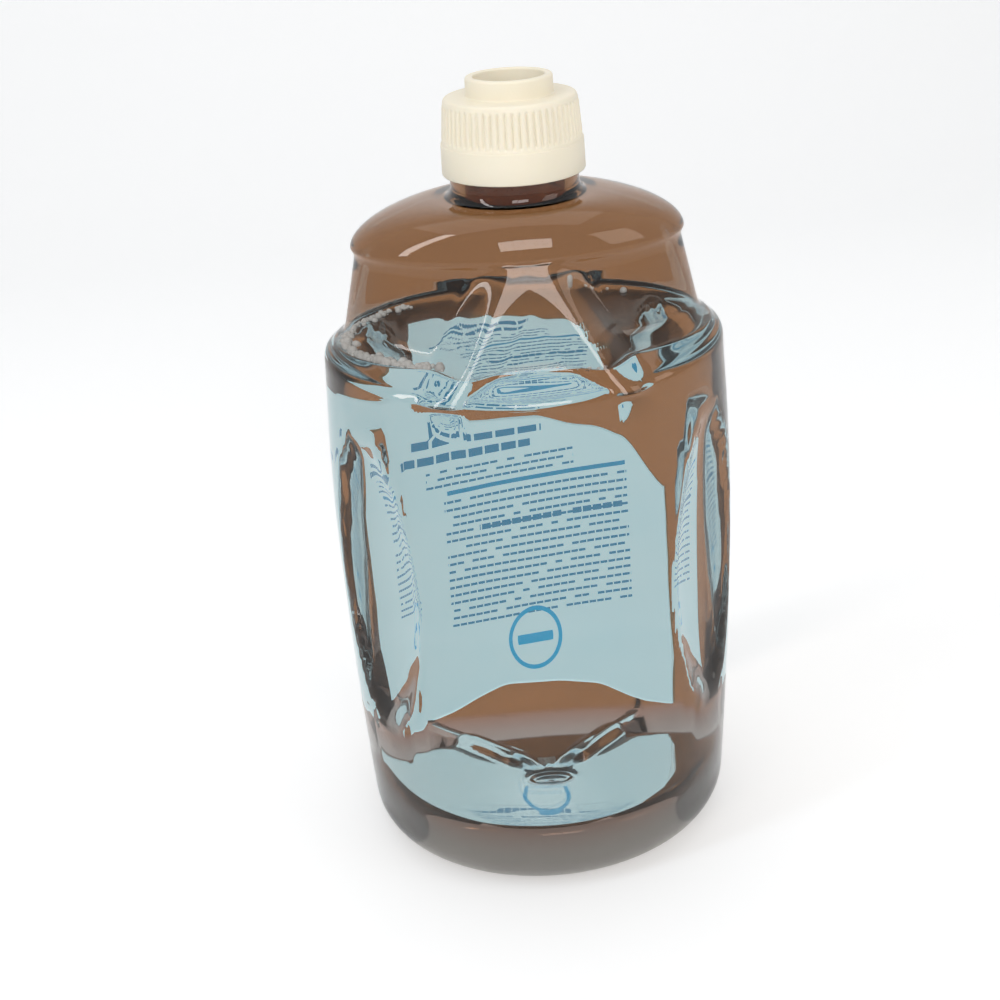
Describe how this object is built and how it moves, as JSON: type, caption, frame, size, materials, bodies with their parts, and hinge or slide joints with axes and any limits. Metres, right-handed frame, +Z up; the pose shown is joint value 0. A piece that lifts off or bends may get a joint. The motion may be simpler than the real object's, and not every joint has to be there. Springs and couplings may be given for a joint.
{
  "type": "shower cleaner refill bottle",
  "caption": "Clear oval refill bottle filled with liquid, with a narrower turret, finger dimples, a back label and a ribbed screw cap with a port.",
  "frame": {"origin": "centre of the footprint on the plane that the bottle stands on", "axes": "+Z up along the neck, X along the width, front with the buttress faces -Y"},
  "size_m": [0.108, 0.0883, 0.2158],
  "materials": {
    "bottle": "clear blown plastic with a very light warm tint",
    "liquid": "clear liquid",
    "back_label": "film label, pale blue with blue bars",
    "cap": "ivory moulded plastic",
    "seal_insert": "soft natural plastic"
  },
  "bodies": {
    "bottle": {"bottle": "bottle", "liquid": "liquid", "back_label": "back_label"},
    "insert": {"seal_insert": "seal_insert"},
    "cap": {"cap": "cap"}
  },
  "joints": [
    {"name": "cap_lift", "type": "slide", "parent": "bottle", "child": "insert", "axis": [0, 0, 1], "range_m": [0, 0.0053]},
    {"name": "cap_turn", "type": "hinge", "parent": "insert", "child": "cap", "pos_m": [0, 0, 0.2], "axis": [0, 0, 1], "range_deg": [0, 451.2]}
  ],
  "couplings": [
    {"joint": "cap_turn", "follows": "cap_lift", "rad_per_m": 1485.4}
  ]
}
